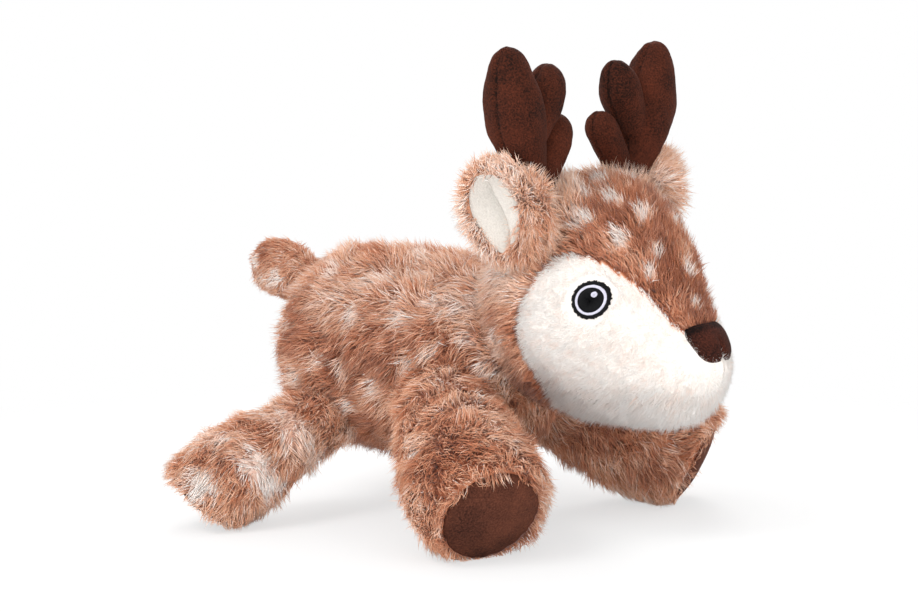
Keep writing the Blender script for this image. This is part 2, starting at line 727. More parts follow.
class Finish(Nodes):
    """A material that is asked for its nodes by what they do."""

    def __init__(self, name, specular=0.5, **constants):
        self.material = bpy.data.materials.new(name)
        self.material.use_nodes = True
        super().__init__(self.material.node_tree)
        self.shader = self.tree.nodes["Principled BSDF"]
        self.shader.inputs["Specular IOR Level"].default_value = specular
        for key, value in constants.items():
            self.shader.inputs[key.replace("_", " ")].default_value = value

    def attribute(self, name):
        return self.node("ShaderNodeAttribute", {"attribute_name": name}, output=2)

    def place(self):
        return self.node("ShaderNodeTexCoord", output=3)

    def noise(self, size, detail, roughness=0.55):
        """Noise whose features are about size metres across."""
        sockets = {"Vector": self.place(), "Scale": 1 / size}
        sockets.update(Detail=detail, Roughness=roughness)
        return self.node("ShaderNodeTexNoise", None, sockets)

    def mix(self, share, first, second):
        return self.node("ShaderNodeMix", {"data_type": "RGBA"}, {0: share, 6: first, 7: second}, 2)

    def ramp(self, value, stops):
        return self.node("ShaderNodeValToRGB", {"stops": stops}, {0: value})

    def bump(self, height, strength, distance):
        sockets = {"Height": height, "Strength": strength, "Distance": distance}
        return self.node("ShaderNodeBump", None, sockets)

    def feed(self, **links):
        for key, value in links.items():
            self.tree.links.new(value.socket, self.shader.inputs[key.replace("_", " ")])
        return self.material


def colour(*rgb):
    """A colour given as it looks on screen, from 0 to 255, made linear."""
    c = np.array(rgb) / 255
    return (*np.where(c <= 0.04045, c / 12.92, ((c + 0.055) / 1.055) ** 2.4), 1)


WHITE = (1, 1, 1, 1)
COAT_TIPS = (
    (0.0, colour(168, 100, 70)),
    (0.30, colour(220, 148, 110)),
    (0.55, colour(243, 200, 170)),
    (0.78, colour(250, 227, 214)),
    (1.0, colour(249, 246, 243)),
)
COAT_ROOTS = (
    (0.0, colour(104, 54, 36)),
    (0.30, colour(158, 92, 64)),
    (0.55, colour(204, 142, 108)),
    (0.78, colour(238, 202, 184)),
    (1.0, colour(250, 246, 241)),
)
# How large the features of each noise are, in metres
KNIT = 0.0016
BRUSHED_PATCHES = 0.018
NAP = 0.0009
THREAD_FIBRES = 0.0004


def pile_material():
    """Dyed pile: coat picks the dye, and each strand pales from its root to its tip."""
    finish = Finish("dyed_pile", 0.2, Roughness=0.85, Sheen_Weight=0.15, Sheen_Roughness=0.5)
    coat, height = finish.attribute("coat"), finish.attribute("height")
    tips, roots = finish.ramp(coat, COAT_TIPS), finish.ramp(coat, COAT_ROOTS)
    return finish.feed(Base_Color=finish.mix(height**0.7, roots, tips))


def hide_material():
    """The knitted backing and the roots of the pile that show between the strands."""
    finish = Finish("pile_backing", 0.1, Roughness=0.95, Sheen_Weight=0.2)
    coat = finish.attribute("coat")
    knit = finish.noise(KNIT, 4)
    roots = finish.ramp(coat, COAT_ROOTS)
    dark = finish.node("ShaderNodeVectorMath", {"operation": "SCALE"}, {0: roots, "Scale": 0.82})
    return finish.feed(
        Base_Color=finish.mix(knit, dark, roots), Normal=finish.bump(knit, 0.6, 0.001)
    )


def velour_material(name, deep, worn, sewn=False):
    """Short-nap velour: brushed patches pale a little, and the nap is a fine bump. Sewn
    velour is darker where its attribute seam is high."""
    sheen = {"Sheen_Weight": 0.30, "Sheen_Roughness": 0.35, "Sheen_Tint": worn}
    finish = Finish(name, 0.12, Roughness=0.9, **sheen)
    brushed, fine = finish.noise(BRUSHED_PATCHES, 2), finish.noise(NAP, 2, 0.7)
    share = brushed * 1.2 + fine * 2.0 - 1.10
    if sewn:
        share = share - finish.attribute("seam") * 0.45
    return finish.feed(
        Base_Color=finish.mix(share, deep, worn),
        Normal=finish.bump(fine + brushed * 0.4, 0.55, NAP),
        Roughness=brushed * 0.12 + 0.82,
    )


def thread_material(name, base, light):
    """Satin stitch: smooth thread with a slight sheen."""
    finish = Finish(name, 0.1, Roughness=0.42)
    fine = finish.noise(THREAD_FIBRES, 2)
    return finish.feed(Base_Color=finish.mix(fine, base, light), Roughness=fine * 0.2 + 0.35)


pile = pile_material()
backing = hide_material()
brown_velour = velour_material("antler_velour", colour(22, 8, 4), colour(84, 39, 24), sewn=True)
pad_velour = velour_material("pad_velour", colour(42, 20, 14), colour(98, 56, 41))
nose_velour = velour_material("nose_velour", colour(12, 4, 3), colour(76, 37, 26), sewn=True)
lining_velour = velour_material("lining_velour", colour(194, 189, 182), colour(214, 210, 203))
dark_thread = thread_material("dark_thread", colour(3, 3, 4), colour(12, 12, 15))
pale_thread = thread_material("pale_thread", colour(180, 178, 194), colour(206, 204, 216))


# The dye's pattern

PALEST_SPOT = 0.9
TORSO_SPOT_STRENGTH = 0.72
WHITE_COAT = 0.97


def spotted(points, spots):
    """How pale each point is dyed: 1 inside a spot, with a ragged edge."""
    spots = np.array(spots) * MILLIMETRE
    away = np.linalg.norm(points[:, None] - spots[:, :3], axis=-1)
    edge = spots[:, 3] * SPOT_SPREAD * (1 + 0.30 * mottle(points, 0.006, 5)[:, None])
    return (1 - smooth_step(0.65, 1.20, away / edge)).max(1)


def dye(points, spots=(), paler=0.0, strength=1.0):
    """The coat value at each point: red-brown with soft mottling, raised by paler, and
    near white in the spots."""
    ground = 0.23 + 0.16 * mottle(points, 0.024, 2) + 0.09 * mottle(points, 0.008, 3) + paler
    pale = spotted(points, spots) * strength if len(spots) else 0
    return np.clip(ground, 0.02, 0.7) * (1 - pale) + PALEST_SPOT * pale


def torso_dye(points):
    """Paler along the back and most of all at the neck, and redder below."""
    x, z = points[:, 0], points[:, 2]
    above = smooth_step(0.080, 0.122, z)
    neck = smooth_step(0.010, 0.040, x) * smooth_step(0.065, 0.090, z)
    below = smooth_step(0.060, 0.040, z)
    paler = 0.24 * above + 0.33 * neck - 0.10 * below
    return dye(points, TORSO_SPOTS, paler, TORSO_SPOT_STRENGTH)


def head_dye(points):
    cheek = smooth_step(0.095, 0.060, points[:, 0]) * smooth_step(0.075, 0.095, points[:, 2])
    return dye(points, HEAD_SPOTS, 0.38 * cheek - 0.09)


HEAD_SCALE = (HEAD_BACK_REACH + HEAD_FRONT_REACH, HEAD_CROWN_RISE)
FACE_EDGE = np.array(FACE_EDGE_SHARES) * HEAD_SCALE + HEAD_MIDDLE[::2]

# The edge of the white pile, as (x, z) in millimetres. It ends a little inside the panel's
# seam above, where the brown pile lies over it, and a little outside it below
WHITE_EDGE = MILLIMETRE * np.array(
    (
        (60.5, 102), (63.5, 113), (70.5, 124.5), (75.5, 132.5), (80.5, 137.5), (88.5, 139.5),
        (98.5, 136), (106.5, 130), (113.5, 123), (119.5, 115), (125.5, 107), (130, 103),
        (136, 100), (160, 100), (160, 40), (75, 40), (70.5, 67), (67.5, 77.5), (63.5, 87.5),
    )
)


def on_face(points):
    return inside_outline(points, WHITE_EDGE)


def head_coat(points):
    """The dye of the head's pile, and next to none on the face."""
    return np.where(on_face(points), WHITE_COAT, head_dye(points))


# Body and head

# How deep the roots of the pile lie under the outline of the stuffed form, and how deep the
# backing lies under them
TORSO_PILE_DEPTH = 0.0026
LIMB_PILE_DEPTH = 0.0028
HEAD_PILE_DEPTH = 0.0020
BACKING_DEPTH = 0.0002
# How many pieces the coats of the torso and the head are made in, and how many strands
# each piece of the coat has
TORSO_PARTS = 3
TORSO_STRANDS = 15200
HEAD_PARTS = 2
HEAD_STRANDS = 15700
FACE_STRANDS = 28000
EAR_STRANDS = 9000
# Next to no strands grow where one form is sewn onto another
HIDDEN_STRANDS = 0.02
# How long the pile is. That of the ruff and the chin is added to what is there
TORSO_PILE = 0.0112
CROWN_PILE = 0.0105
MUZZLE_PILE = 0.0080
RUFF_PILE = 0.0060
FACE_PILE = 0.0042
CHIN_PILE = 0.0052

torso_plush = closed_form(
    "torso_plush",
    torso_form.rings(8, 96, -TORSO_PILE_DEPTH - BACKING_DEPTH),
    backing,
    {"coat": torso_dye},
)
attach(torso_plush, "torso")
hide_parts("torso_skin", "torso_fill")


def behind_head(middle, normal):
    return np.where(covered(head_form, middle, -0.004), HIDDEN_STRANDS, 1.0)


torso_hide = Hide(torso_form.rings(12, 128, -TORSO_PILE_DEPTH))
torso_roots = torso_hide.roots(TORSO_PARTS * TORSO_STRANDS, behind_head)
for part, (root, normal, along) in enumerate(in_parts(torso_roots, TORSO_PARTS), 1):
    # Brushed up on the back, laid down and back on the flanks, and upright underneath
    above = smooth_step(0.095, 0.125, root[:, 2])[:, None]
    under = smooth_step(0.045, 0.034, root[:, 2])
    comb = -along * (0.75 - 0.35 * above) - UP * (0.75 - 1.2 * above)
    comb = comb + 0.8 * swirl(root, 0.030, 11, normal, along)
    length = TORSO_PILE + 0.0016 * mottle(root, 0.018, 13)
    stand = 0.40 + 0.14 * mottle(root, 0.016, 12) + 0.25 * under
    surface, coat = (root, normal), torso_dye(root)
    made = fur(f"torso_fur_{part}", surface, comb, length, stand, coat, SHAGGY)
    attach(made, "torso")

head_plush = closed_form(
    "head_plush",
    head_form.rings(8, 96, -HEAD_PILE_DEPTH - BACKING_DEPTH),
    backing,
    {"coat": head_coat},
)
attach(head_plush, "head")
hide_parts("head_skin", "head_fill")

skull_rings = head_form.rings(8, 96, -HEAD_PILE_DEPTH)
skull = BVHTree.FromPolygons(
    skull_rings.reshape(-1, 3).tolist(), ring_faces(*skull_rings.shape[:2]).tolist()
)


def head_side(x, z, side):
    """Where the head's side is at each (x, z), and the way that it faces there."""
    places, faces = [], []
    for at_x, at_z in zip(np.ravel(x), np.ravel(z)):
        found = skull.ray_cast(Vector((at_x, side * 0.2, at_z)), Vector((0, -side, 0)))
        places.append(found[0])
        faces.append(found[1] if found[1].y * side > 0 else -found[1])
    return np.array(places).reshape(*np.shape(x), 3), np.array(faces).reshape(*np.shape(x), 3)


EYE_CENTRE = on_head(EYE_FORWARD, EYE_RISE) + (SHIFT, 0, 0)
EYE_NARROW = 0.88
EYE_HIDE_RADIUS = 0.0086
nose_low, nose_high = (np.array(corner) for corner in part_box("nose"))
ANTLER_ROOTS = [joint_place(f"antler_{word}_seam") for word, _ in SIDES]


def eye_distance(points):
    return np.hypot((points[:, 0] - EYE_CENTRE[0]) / EYE_NARROW, points[:, 2] - EYE_CENTRE[2])


def nose_distance(points):
    """How far each point is from the nose's middle, as a share of the nose's own reach."""
    away = (points - (nose_low + nose_high) / 2) / ((nose_high - nose_low) / 2)
    return np.linalg.norm(away, axis=-1)


def antler_distance(points):
    """How far each point is from the nearer antler's root."""
    return np.min([np.linalg.norm(points - root, axis=-1) for root in ANTLER_ROOTS], axis=0)


def brown_weight(middle, normal):
    grown = np.where(covered(torso_form, middle, -0.005), HIDDEN_STRANDS, 1.0)
    return np.where(on_face(middle) | (nose_distance(middle) < 1.0), 0.0, grown)


head_hide = Hide(head_form.rings(12, 128, -HEAD_PILE_DEPTH))
head_roots = head_hide.roots(HEAD_PARTS * HEAD_STRANDS, brown_weight)
keep = ~on_face(head_roots[0])
head_roots = [values[keep] for values in head_roots]
for part, (root, normal, along) in enumerate(in_parts(head_roots, HEAD_PARTS), 1):
    # Short on the bridge of the muzzle, long on the cheeks and the neck, and it stands up
    # in a pale ruff round each antler
    lower = smooth_step(0.13, 0.09, root[:, 2])[:, None]
    ahead = smooth_step(0.085, 0.135, root[:, 0])
    ruff = smooth_step(0.024, 0.013, antler_distance(root))
    near_face = smooth_step(0.010, 0.0, outline_distance(root, WHITE_EDGE))
    comb = -along * 0.9 - UP * (0.1 + 0.7 * lower) + 0.35 * swirl(root, 0.025, 21, normal, along)
    comb = comb + 1.5 * UP * ruff[:, None]
    length = CROWN_PILE * (1 - ahead) + MUZZLE_PILE * ahead + RUFF_PILE * ruff
    length = length - 0.001 * near_face
    stand = 0.42 + 0.08 * mottle(root, 0.02, 22) + 0.50 * ruff
    ruff_coat = 0.62 + 0.10 * mottle(root, 0.008, 23)
    coat = head_dye(root) * (1 - 0.8 * ruff) + ruff_coat * 0.8 * ruff
    surface = root, normal
    made = fur(f"head_fur_{part}", surface, comb, length, stand, coat, COMBED)
    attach(made, "head")


def face_fur(word, side):
    """White pile on one side of the face, laid away from the eye all round it."""

    def white_weight(middle, normal):
        bare = (eye_distance(middle) <= EYE_HIDE_RADIUS) | (nose_distance(middle) <= 0.98)
        return np.where(on_face(middle) & (side * middle[:, 1] > 0) & ~bare, 1.0, 0.0)

    root, normal, along = head_hide.roots(FACE_STRANDS, white_weight)
    away = unit(root - EYE_CENTRE * (1, 0, 1) - np.array((0, 1, 0)) * root[:, 1:2])
    by_eye = smooth_step(0.0125, 0.0088, eye_distance(root))[:, None]
    comb = -along * 0.75 - UP * 0.45 + 0.3 * swirl(root, 0.02, 31, normal, along)
    comb = comb * (1 - by_eye) + away * by_eye
    muzzle = smooth_step(0.120, 0.145, root[:, 0])
    chin = smooth_step(0.084, 0.066, root[:, 2])
    length = FACE_PILE * (1 - 0.45 * by_eye[:, 0]) * (1 - 0.25 * muzzle) + CHIN_PILE * chin
    coat = 0.975 + 0.015 * mottle(root, 0.01, 32)
    surface = root, normal
    made = fur(f"face_fur_{word}", surface, comb, length, 0.5, coat, SMOOTH)
    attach(made, "head")


def face_panel(word, side):
    """A white panel, a little proud of the brown hide under its own pile: the quads of the
    head's form that lie inside the panel's seam on this side."""
    rings = head_form.rings(9, 128, 0.0006 - HEAD_PILE_DEPTH)
    points = rings.reshape(-1, 3)
    quads = ring_faces(*rings.shape[:2])
    middle = points[quads].mean(1)
    quads = quads[inside_outline(middle, FACE_EDGE) & (side * middle[:, 1] > -0.0006)]
    used, quads = np.unique(quads, return_inverse=True)
    points, quads = points[used], quads.reshape(-1, 4)
    quads = facing_way(quads, points, points[quads[:, 0]] - HEAD_MIDDLE)
    made = make_mesh(f"face_plush_{word}", points, (quads,), backing, {"coat": head_coat(points)})
    wall = made.modifiers.new("wall", "SOLIDIFY")
    wall.thickness = 0.0012
    wall.offset = -1
    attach(made, "head")
    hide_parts(f"face_panel_{word}")


for word, side in SIDES:
    face_fur(word, side)
for word, side in SIDES:
    face_panel(word, side)


# Nose and eyes


def nose_cap():
    """A padded cap: a sphere flattened to the cap's sizes, wider above, with a top plane,
    a crease down its front and a seam round its edge."""
    tip = np.array((math.cos(NOSE_PITCH), 0, math.sin(NOSE_PITCH)))
    rise = np.array((-math.sin(NOSE_PITCH), 0, math.cos(NOSE_PITCH)))
    core = HEAD_MIDDLE + (HEAD_FRONT_REACH, 0, 0) + np.array(NOSE_CORE_SHARES) * NOSE_HEIGHT
    seat = np.array(skull.ray_cast(Vector(core), Vector(tip))[0]) - (NOSE_SET_BACK, 0, 0)
    level = np.linspace(0, np.pi, 48)[1:-1, None]
    turn = turns(96)
    deep = np.cos(level)
    wide = np.sin(level) * np.cos(turn)
    tall = np.sin(level) * np.sin(turn)
    # Corners a little squarer than an ellipse
    square = 1.10 - 0.12 * np.sin(level) ** 2 * np.cos(2 * turn) ** 2
    taper = 1 + 0.16 * tall
    crease = 0.20 * np.exp(-((wide / 0.09) ** 2)) * smooth_step(0.25, -0.5, tall)
    # Its top is folded flat
    tall = np.minimum(tall, 0.62 + 0.12 * tall)
    ahead = (deep - crease * (deep > 0)) * NOSE_BULGE - NOSE_BULGE * 0.16
    aside = wide * taper * square * NOSE_WIDTH * 1.04 / 2
    above = (tall * square - 0.22) * NOSE_HEIGHT * 1.10 / 2
    points = seat + ahead[..., None] * tip
    points = points + aside[..., None] * np.array((0, 1, 0)) + above[..., None] * rise

    def brushed_dark(points):
        """The nap lies down towards the fold at the top, which darkens it there."""
        above = (points - seat) @ rise / NOSE_HEIGHT
        return smooth_step(0.04, 0.20, above)

    made = closed_form("nose_cap", points, nose_velour, {"seam": brushed_dark})
    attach(made, "head")
    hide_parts("nose")


nose_cap()


class Stitch(NamedTuple):
    """An area of satin stitch: its inner and outer radius, how high its edge and its crown
    lie over the head, its number of threads, the place of its middle, and how ragged its
    outer edge is."""

    inner: float
    outer: float
    base: float
    crown: float
    threads: int
    offset: tuple = (0, 0)
    ragged: float = 0.00004


RING = Stitch(0.0065, 0.0086, 0.0012, 0.0010, 150, ragged=0.00022)
IRIS = Stitch(0.0054, 0.0069, 0.0013, 0.0008, 120)
PUPIL = Stitch(0, 0.0060, 0.0014, 0.0009, 90)
GLINT = Stitch(0, 0.0013, 0.0023, 0.0005, 20, offset=(0.0012, 0.0024))
# How high the ridge of a thread is, and how many points a ring has for each thread
RIDGE = 0.00006
POINTS_A_THREAD = 4


def satin(name, stitch, side, finish):
    """A band or disc of satin stitch on the side of the head: threads lie side by side
    across it, each a low ridge, and it is crowned across its width."""
    inner, outer, base, crown, threads, offset, ragged = stitch
    across, around = 9, threads * POINTS_A_THREAD
    t = np.linspace(0, 1, across)[:, None]
    turn = np.arange(around) / around * 2 * np.pi
    own = np.random.default_rng(threads)
    ends = np.repeat(own.uniform(-1, 1, threads), POINTS_A_THREAD)
    ends = ends + 0.8 * np.sin(19 * turn + 2 * np.sin(3 * turn))
    radius = inner + (outer - inner + ragged * ends) * t
    x = EYE_CENTRE[0] + offset[0] + EYE_NARROW * np.cos(turn) * radius
    z = EYE_CENTRE[2] + offset[1] + np.sin(turn) * radius
    place, face = head_side(x, z, side)
    edge = 1 - (2 * t - 1) ** 4 if inner > 0 else 1 - t**6
    height = base + crown * edge + RIDGE * np.cos(turn * threads) * edge
    top = place + face * height[..., None]
    low = place + face * -0.0004
    outwards = np.array((0, side, 0))
    if inner > 0:
        # A band is closed along its inner edge, from its last ring back to its first
        rings = np.concatenate((low[:1], top, low[-1:]))
        points = rings.reshape(-1, 3)
        close = ring_faces(2, around)
        last = (len(rings) - 1) * around
        close = np.where(close >= around, close - around, close + last)
        faces = np.vstack((ring_faces(len(rings), around), close))
        groups = [facing_way(faces, points, outwards)]
    else:
        points = np.vstack((top.reshape(-1, 3), low[-1], low[-1].mean(0)))
        faces = ring_faces(across + 1, around)
        fan = cap_faces(across * around, around, len(points) - 1, False)
        groups = [facing_way(faces, points, outwards), facing_way(fan, points, -outwards)]
    made = make_mesh(name, points, groups, finish)
    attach(made, "head")
    return made


for word, side in SIDES:
    made = satin(f"eye_ring_band_{word}", RING, side, dark_thread)
    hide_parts(f"eye_ring_{word}")
    made = satin(f"eye_white_band_{word}", IRIS, side, pale_thread)
    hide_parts(f"eye_white_{word}")
    made = satin(f"eye_pupil_disc_{word}", PUPIL, side, dark_thread)
    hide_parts(f"eye_pupil_{word}")
    made = satin(f"eye_glint_dot_{word}", GLINT, side, pale_thread)
    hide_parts(f"eye_glint_{word}")


# Legs and tail


class Limb(NamedTuple):
    """A limb's pile: its spots, its strands, their length and stand, how much paler they
    are dyed, and how far the limb is drawn in at its root."""

    spots: tuple
    strands: int
    length: float
    stand: float
    paler: float
    slim: float = 0.0


def slimmed(rings, slim):
    """Rings drawn in round their middles, by slim at the first and by nothing at the last,
    and let down there by as much, so that the underside keeps its place."""
    middle = rings.mean(1, keepdims=True)
    share = slim * np.linspace(1, 0, len(rings))[:, None, None]
    sag = (rings - middle)[..., 2].max(1)[:, None, None] * share * UP
    return middle + (rings - middle) * (1 - share) - sag


def outside_torso(middle, normal):
    return np.where(covered(torso_form, middle, -0.003), 0.0, 1.0)


def limb(kind, suffix, form, own, replaced, rim=None):
    """A furred limb: its hide, and its pile combed from the body outwards and down. A rim
    is the radius of the sole that the pile grows round, the way that the sole faces, and
    the way to the other leg."""

    def limb_dye(points):
        return dye(points, own.spots, own.paler)

    rings = slimmed(form.rings(8, 72, -LIMB_PILE_DEPTH - BACKING_DEPTH), own.slim)
    rings[..., 2] = np.maximum(rings[..., 2], 0.0002)
    hide = closed_form(f"{kind}_plush{suffix}", rings, backing, {"coat": limb_dye})
    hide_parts(*replaced)
    rings = slimmed(form.rings(12, 96, -LIMB_PILE_DEPTH), own.slim)
    if rim is not None:
        radius, facing, inwards = rim
        centre = rings[-1].mean(0)
        lip = centre + unit(rings[-1] - centre) * radius
        rings = np.concatenate((rings, [(rings[-1] + lip) / 2, lip]))
    rings[..., 2] = np.maximum(rings[..., 2], 0.0003)
    root, normal, along = Hide(rings).roots(own.strands, outside_torso)
    comb = along * 0.8 - UP * 0.5 + 0.8 * swirl(root, 0.025, 41, normal, along)
    under = smooth_step(0.010, 0.002, root[:, 2])
    length = (own.length + 0.0012 * mottle(root, 0.016, 43)) * (1 - 0.45 * under)
    if rim is not None:
        # Round the sole the pile turns outwards. Above it the pile is combed down less far,
        # and on the inner side it lies back and is shorter
        ahead = (root - centre) @ facing
        by_sole = smooth_step(-0.006, 0.0, ahead)
        outwards = unit(root - centre - ahead[:, None] * facing)
        over = np.clip(outwards[:, 2], 0, 1)[:, None]
        inner = np.clip(outwards @ inwards, 0, 1)[:, None]
        around = outwards * (0.9 - 1.1 * over) + facing * (0.5 - 1.3 * inner) - UP * 0.6 * over
        comb = comb * (1 - by_sole[:, None]) + around * by_sole[:, None]
        length = length * (1 - (0.22 + 0.08 * inner[:, 0]) * by_sole)
    stand = own.stand + 0.12 * mottle(root, 0.016, 42)
    surface, coat = (root, normal), limb_dye(root)
    made = fur(f"{kind}_fur{suffix}", surface, comb, length, stand, coat, SHAGGY)
    return hide, made


def mirrored(spots, side):
    return [(x, -side * y, z, size) for x, y, z, size in spots]


def sole(name, form, facing, radius, replaced, body):
    """A velour sole: a domed disc, puckered where its edge is sewn in."""
    centre = form.spine[2] + (SHIFT, 0, 0)
    side = unit(np.cross(form.up, facing))
    rise = np.cross(facing, side)
    turn = turns(120)
    t = np.linspace(0, 1, 24)[:, None]
    pucker = 0.00030 * np.cos(turn * 22 + 2 * np.sin(3 * turn)) * smooth_step(0.70, 0.97, t)
    dent = 0.0004 * np.sin(2 * turn + 0.8) * t**2 + 0.0003 * np.sin(3 * turn) * t
    dome = 0.0042 * (1 - t**2.6) + 0.0008 + pucker + dent
    reach = t * (radius + 0.0010)
    ring = side * np.cos(turn)[:, None] + rise * np.sin(turn)[:, None]
    top = centre + facing * dome[..., None] + ring * reach[..., None]
    low = centre - facing * 0.0030 + ring * (radius + 0.0008)
    rings = np.concatenate((top[1:], low[None]))
    rings[..., 2] = np.maximum(rings[..., 2], 0.0001)
    made = closed_form(name, rings, pad_velour)
    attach(made, body)
    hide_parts(replaced)


# For each pair of legs, its form as leg_form takes it, and its pile
LEGS = {
    "foreleg": (
        (
            FORELEG_ROOT_SHARES, (FOREFOOT_FORWARD, FOREFOOT_SPREAD),
            FORELEG_AIM, FORELEG_DIP, FORELEG_BEND, FORELEG_RADIUS, FOREPAD_RADIUS,
        ),
        Limb(FORELEG_SPOTS, strands=14500, length=0.0108, stand=0.42, paler=0.12),
    ),
    "hindleg": (
        (
            HINDLEG_ROOT_SHARES, (-HINDFOOT_BACK, HINDFOOT_SPREAD),
            HINDLEG_AIM, HINDLEG_DIP, HINDLEG_BEND, HINDLEG_RADIUS, HINDPAD_RADIUS,
        ),
        Limb(HINDLEG_SPOTS, strands=10500, length=0.0100, stand=0.32, paler=0.26, slim=0.16),
    ),
}
TAIL = Limb(TAIL_SPOTS, strands=7000, length=0.0070, stand=0.34, paler=0.02)


def leg(kind, size, own, word, side):
    """A leg, which bends over the stretch round its hip's seam, and its sole."""
    form, facing = leg_form(*size, side)
    pad_radius = size[-1]
    body = f"{kind}_{word}"
    own = own._replace(spots=mirrored(own.spots, side))
    replaced = (f"{kind}_skin_{word}", f"{kind}_fill_{word}")
    rim = (pad_radius + 0.0004, facing, np.array((0, -side, 0)))
    hide, made = limb(kind, f"_{word}", form, own, replaced, rim)
    for piece in (hide, made):
        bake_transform(piece)
    sole(f"{kind}_sole_{word}", form, facing, pad_radius, f"{kind}_pad_{word}", body)


for kind, (size, own) in LEGS.items():
    for word, side in SIDES:
        leg(kind, size, own, word, side)

hide, made = limb("tail", "", tail_form(), TAIL, ("tail_skin", "tail_fill"))
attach(hide, "tail")
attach(made, "tail")


# Ears

# How high the ear's front lies over its dish, and how deep the pocket for its lining is
EAR_FRONT_LEVEL = 0.0012
EAR_POCKET_DEPTH = 0.0070


def ear_axes(side):
    """The ear's middle, and the ways forwards across it, to its tip and out of its cup."""
    centre = on_head(EAR_FORWARD, EAR_RISE, side * EAR_SPREAD) + (SHIFT, 0, 0)
    ahead = np.array((math.cos(EAR_TURN), -side * math.sin(EAR_TURN), 0))
    out = np.array((math.sin(EAR_TURN), side * math.cos(EAR_TURN), 0))
    tip = unit(out * math.sin(EAR_LEAN) + UP * math.cos(EAR_LEAN))
    faces = unit(out * math.cos(EAR_LEAN) - UP * math.sin(EAR_LEAN))
    return centre, ahead, tip, faces


def in_ear(side, u, v, level):
    """Points on a dished disc: deep = level - dish * (1 - r^2), with r from the ear's
    middle. u goes forwards across the ear, and v to its tip."""
    centre, ahead, tip, faces = ear_axes(side)
    spread = (2 * u / EAR_WIDTH) ** 2 + (2 * v / EAR_HEIGHT) ** 2
    deep = level - EAR_DISH * (1 - spread)
    return centre + u[..., None] * ahead + v[..., None] * tip + deep[..., None] * faces


def lining_width(v):
    """The lining narrows towards its lower end; v goes from -1 there to 1 at the top."""
    return 1 - 0.22 * smooth_step(0.1, -1.0, v)


def ear_dye(points):
    return dye(points, paler=0.10)


def ear(word, side):
    """A cupped disc of plush, thicker below, with a pocket in its front for the lining."""
    t = np.linspace(0.02, 1, 20)[:, None]
    turn = turns(96)
    u = np.cos(turn) * t * EAR_WIDTH / 2
    v = np.sin(turn) * t * EAR_HEIGHT / 2
    inside = np.hypot((u + LINING_SET_BACK) / (LINING_WIDTH / 2), v / (LINING_HEIGHT / 2))
    pocket = EAR_POCKET_DEPTH * smooth_step(1.0, 0.80, inside)
    front = in_ear(side, u, v, EAR_FRONT_LEVEL - pocket)
    swell = np.sqrt(np.maximum(1 - t**4, 0))
    lower = np.clip(-np.sin(turn) * t, 0, 1)
    back = in_ear(side, u, v, -0.0015 - (0.006 + 0.007 * lower**2) * swell)
    rings = np.concatenate((front, back[::-1]))
    shape = closed_form(f"ear_plush_{word}", rings, backing, {"coat": ear_dye})
    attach(shape, f"ear_{word}")
    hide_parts(f"ear_back_{word}")
    centre, ahead, tip, faces = ear_axes(side)

    def furred(middle, normal):
        """Everywhere but under the lining."""
        v = (middle - centre) @ tip / (LINING_HEIGHT / 2)
        u = ((middle - centre) @ ahead + LINING_SET_BACK) / (LINING_WIDTH / 2) / lining_width(v)
        return np.where((u**2 + v**2 < 0.96) & (normal @ faces > 0.1), 0.0, 1.0)

    # The front's inmost rings lie under the lining, so no pile grows there
    surface = Hide(np.concatenate((front[6:], back[::-1])))
    root, normal, along = surface.roots(EAR_STRANDS, furred)
    away = root - centre
    radial = unit(away - (away @ faces)[:, None] * faces)
    forwards, upwards = (away @ ahead) / (EAR_WIDTH / 2), (away @ tip) / (EAR_HEIGHT / 2)
    rim = np.linalg.norm((forwards, upwards), axis=0)
    comb = radial + 0.35 * swirl(root, 0.02, 51, normal, radial) - 0.1 * UP
    length = 0.0066 + 0.0026 * smooth_step(0.6, 1.0, rim) + 0.0045 * np.clip(forwards, 0, 1)
    stand = 0.40 + 0.10 * mottle(root, 0.015, 52)
    coat = dye(root, paler=0.31)
    made = fur(f"ear_fur_{word}", (root, normal), comb, length, stand, coat, WISPY)
    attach(made, f"ear_{word}")


# Across the lining's cloth: how far each place is from the back edge (0) to the front edge (1)
# of the hollow and of the flap, and how high above the ear it lies, in millimetres
HOLLOW = (
    (0, 0, -0.4), (0.06, 0, 1.1), (0.22, 0, 1.2), (0.5, 0, -0.6),
    (0.8, 0, -3.6), (0.98, 0, -5.0), (1.06, 0, -4.2), (1.08, 0, -1.4),
)
FLAP = (
    (1.03, 0, 0.7), (0.97, 0, 1.5), (0.99, 0.03, 2.1), (1, 0.14, 2.2),
    (1, 0.5, 1.9), (1, 0.85, 1.4), (1, 1, -0.2),
)


def lining(word, side):
    """The velour in the ear, folded once lengthwise: from its back edge it rolls over a
    soft rim and sinks into a hollow, turns back on itself under the fold, rises over the
    fold's crisp edge and crosses the front flap."""
    v = np.linspace(-0.995, 0.995, 72)[:, None]
    wide = np.sqrt(1 - v**2) * lining_width(v)
    ease = np.sqrt(1 - v**2) ** 0.8 * smooth_step(0.98, 0.45, v)
    in_hollow, in_flap, height = np.array(HOLLOW + FLAP).T
    fold = wide * np.clip(0.36 - 0.40 * v, 0, 0.72)
    u = -wide + (fold + wide) * in_hollow + (wide - fold) * in_flap - 0.10 * v
    u = u * LINING_WIDTH / 2 - LINING_SET_BACK
    v = v * LINING_HEIGHT / 2
    top = in_ear(side, u, v, EAR_FRONT_LEVEL + MILLIMETRE * height * ease)
    under = in_ear(side, u, v, -0.0016 - 0.0036 * ease)
    cloth = np.concatenate((top, under[:, ::-1]), 1)
    made = closed_form(f"ear_lining_cloth_{word}", cloth, lining_velour)
    smoother = made.modifiers.new("smoother", "SUBSURF")
    smoother.levels = smoother.render_levels = 1
    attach(made, f"ear_{word}")
    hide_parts(f"ear_lining_{word}")


